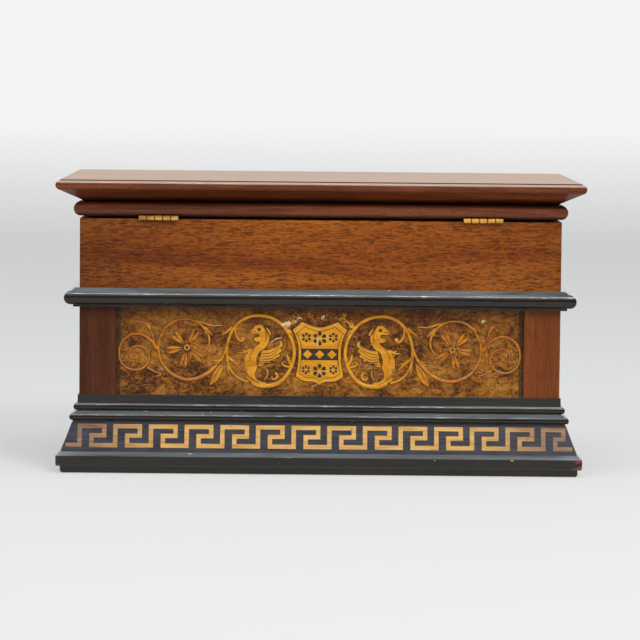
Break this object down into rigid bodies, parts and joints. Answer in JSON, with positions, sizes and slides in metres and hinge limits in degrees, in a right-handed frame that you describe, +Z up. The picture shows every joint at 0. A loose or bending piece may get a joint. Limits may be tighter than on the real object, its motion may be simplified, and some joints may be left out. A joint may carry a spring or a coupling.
{
  "type": "wind-up music box",
  "caption": "Moulded wooden casket with an inlaid panel, a key border and a hinged lid, holding a lever-wound cylinder and comb movement with a fly governor.",
  "frame": {"origin": "middle of the underside, on the surface that the box stands on", "axes": "+X along the width, towards the winding lever; +Y towards the front, which opens; +Z up"},
  "size_m": [0.3286, 0.1906, 0.1827],
  "materials": {
    "frieze_mahogany": "satin polish",
    "lid_mahogany": "satin polish",
    "stile_mahogany": "satin polish",
    "burr_veneer": "polished, inlaid",
    "ebonised_wood": "worn ebonised polish",
    "key_ground": "dark stained veneer, inlaid",
    "carcass_wood": "bare",
    "soundboard_wood": "thin varnish",
    "hinge_brass": "tarnished",
    "bed_brass": "lacquered",
    "wheel_brass": "polished",
    "cylinder_brass": "satin",
    "comb_steel": "ground",
    "bright_steel": "polished",
    "spring_steel": "blued",
    "screw_steel": "blued",
    "knob_wood": "polished"
  },
  "bodies": {
    "case": {"frieze_boards": "frieze_mahogany", "corner_posts": "stile_mahogany", "rear_panel": "burr_veneer", "front_panel": "burr_veneer", "left_panel": "burr_veneer", "right_panel": "burr_veneer", "plinth_moulding": "ebonised_wood", "stepped_moulding": "ebonised_wood", "waist_moulding": "ebonised_wood", "key_band": "key_ground", "bottom_board": "carcass_wood", "soundboard_bearers": "carcass_wood", "rear_wall": "carcass_wood", "front_wall": "carcass_wood", "left_wall": "carcass_wood", "right_wall": "carcass_wood", "dust_lip": "carcass_wood", "soundboard": "soundboard_wood", "hinge_case_leaves": "hinge_brass", "hinge_pins": "hinge_brass", "bedplate": "bed_brass", "comb_base": "bed_brass", "cylinder_bridge_left": "bed_brass", "cylinder_bridge_right": "bed_brass", "barrel_bridge_inner": "bed_brass", "barrel_bridge_outer": "bed_brass", "governor_frame": "bed_brass", "governor_cock": "bed_brass", "comb": "comb_steel", "click": "bright_steel", "stop_lever_stud": "bright_steel", "bedplate_screws": "screw_steel", "comb_screws": "screw_steel", "bridge_screws": "screw_steel"},
    "lid": {"lid_top": "lid_mahogany", "lid_cove": "lid_mahogany", "lid_bead": "lid_mahogany", "hinge_lid_leaves": "hinge_brass"},
    "cylinder": {"cylinder_tube": "cylinder_brass", "cylinder_pins": "bright_steel", "cylinder_end_caps": "cylinder_brass", "cylinder_arbor": "bright_steel", "cylinder_pinion": "bright_steel", "great_wheel": "wheel_brass"},
    "barrel": {"spring_barrel": "wheel_brass", "barrel_cap": "wheel_brass", "mainspring": "spring_steel"},
    "winding_arbor": {"barrel_arbor": "bright_steel", "ratchet_wheel": "bright_steel"},
    "lever": {"winding_lever": "bright_steel", "lever_knob": "knob_wood", "lever_pawl": "bright_steel"},
    "governor_first": {"first_arbor": "bright_steel", "first_wheel": "wheel_brass"},
    "governor_second": {"second_arbor": "bright_steel", "worm_wheel": "wheel_brass"},
    "fly": {"endless_screw": "bright_steel", "fly_fan": "wheel_brass"},
    "stop": {"stop_lever": "bright_steel"}
  },
  "joints": [
    {"name": "lid_hinge", "type": "hinge", "parent": "case", "child": "lid", "pos_m": [0, -0.0829, 0.15905], "axis": [1, 0, 0], "range_deg": [0, 95]},
    {"name": "lever_swing", "type": "hinge", "parent": "case", "child": "lever", "pos_m": [0, -0.03082, 0.094], "axis": [-1, 0, 0], "range_deg": [0, 75]},
    {"name": "arbor_turn", "type": "hinge", "parent": "case", "child": "winding_arbor", "pos_m": [0, -0.03082, 0.094], "axis": [-1, 0, 0], "range_deg": [0, 75]},
    {"name": "cylinder_spin", "type": "hinge", "parent": "case", "child": "cylinder", "pos_m": [0, -0.002, 0.094], "axis": [1, 0, 0], "continuous": true},
    {"name": "barrel_spin", "type": "hinge", "parent": "case", "child": "barrel", "pos_m": [0, -0.03082, 0.094], "axis": [1, 0, 0], "continuous": true},
    {"name": "first_spin", "type": "hinge", "parent": "case", "child": "governor_first", "pos_m": [0, 0.02185, 0.08579], "axis": [1, 0, 0], "continuous": true},
    {"name": "second_spin", "type": "hinge", "parent": "case", "child": "governor_second", "pos_m": [0, 0.03455, 0.08117], "axis": [1, 0, 0], "continuous": true},
    {"name": "fly_spin", "type": "hinge", "parent": "case", "child": "fly", "pos_m": [-0.0861, 0.04334, 0.09], "axis": [0, 0, 1], "continuous": true},
    {"name": "stop_swing", "type": "hinge", "parent": "case", "child": "stop", "pos_m": [-0.103, 0.05504, 0.1], "axis": [0, 0, -1], "range_deg": [0, 25]}
  ],
  "couplings": [
    {"joint": "arbor_turn", "follows": "lever_swing", "ratio": 1},
    {"joint": "barrel_spin", "follows": "cylinder_spin", "ratio": -0.33333},
    {"joint": "first_spin", "follows": "cylinder_spin", "ratio": -5},
    {"joint": "second_spin", "follows": "cylinder_spin", "ratio": 20},
    {"joint": "fly_spin", "follows": "cylinder_spin", "ratio": -200}
  ]
}
